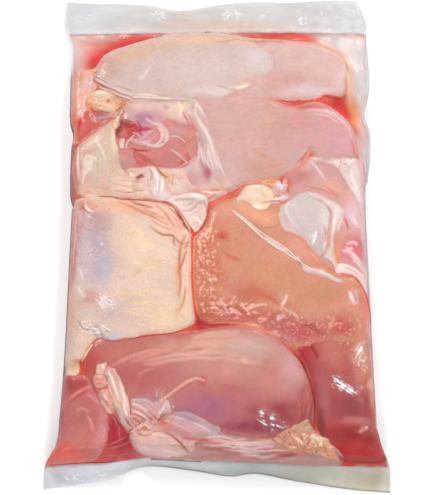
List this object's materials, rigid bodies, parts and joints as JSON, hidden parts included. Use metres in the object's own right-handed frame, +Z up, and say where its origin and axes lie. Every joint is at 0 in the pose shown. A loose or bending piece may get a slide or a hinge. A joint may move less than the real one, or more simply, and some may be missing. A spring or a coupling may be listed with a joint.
{
  "type": "clear sealed bag of raw chicken breasts",
  "caption": "Clear heat-sealed film bag, lying flat, packed tight with raw chicken breasts, loose skin, fat and pink juice.",
  "frame": {"origin": "on the floor under the middle of the bag's bounding box", "axes": "+Z up through the shown side, +Y along the bag towards its wide top fin, X across it"},
  "size_m": [0.263, 0.427, 0.0363],
  "materials": {
    "film": "gloss",
    "meat": "wet",
    "skin": "wet",
    "fat": "wet",
    "juice": "gloss"
  },
  "bodies": {
    "root": {"chicken_bag": "film"}
  },
  "joints": []
}
